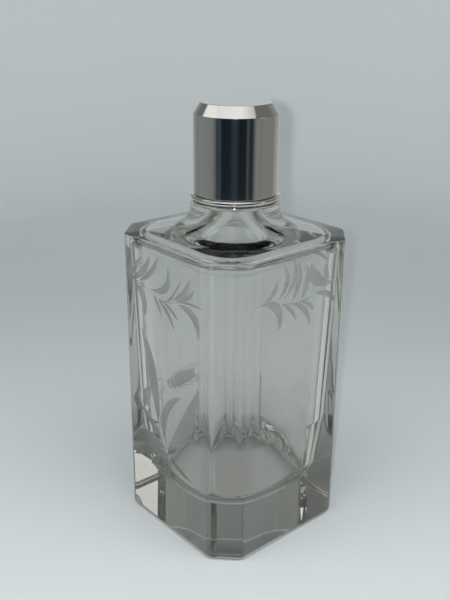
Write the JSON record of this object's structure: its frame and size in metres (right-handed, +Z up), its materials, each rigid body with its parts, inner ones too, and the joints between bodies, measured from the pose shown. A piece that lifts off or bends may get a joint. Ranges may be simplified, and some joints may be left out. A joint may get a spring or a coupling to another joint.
{
  "type": "decanter",
  "caption": "Square glass decanter with canted corners, a thick base, a silver neck collar, a ground glass stopper and a plain cylindrical pull-off silver cap.",
  "frame": {"origin": "middle of the underside of the glass base", "axes": "+Z up along the bottle's axis, +X and +Y square to its flat sides"},
  "size_m": [0.084, 0.084, 0.2081],
  "materials": {
    "body_glass": "clear polished glass with wheel-engraved sprays on two sides",
    "stopper_glass": "clear polished knob, ground plug",
    "silver": "polished silver with fine wear",
    "gilt": "satin gilding",
    "cork": "natural cork",
    "plaster": "matt plaster"
  },
  "bodies": {
    "root": {"glass_body": "body_glass", "neck_cement": "plaster", "neck_collar": "silver", "collar_bead": "silver"},
    "stopper": {"glass_stopper": "stopper_glass"},
    "cap": {"cap_wall": "silver", "cap_crown": "silver", "cap_sleeve": "gilt", "cap_cork": "cork"}
  },
  "joints": [
    {"name": "stopper_lift", "type": "slide", "parent": "root", "child": "stopper", "axis": [0, 0, 1], "range_m": [0, 0.045]},
    {"name": "cap_lift", "type": "slide", "parent": "stopper", "child": "cap", "axis": [0, 0, 1], "range_m": [0, 0.06]}
  ]
}
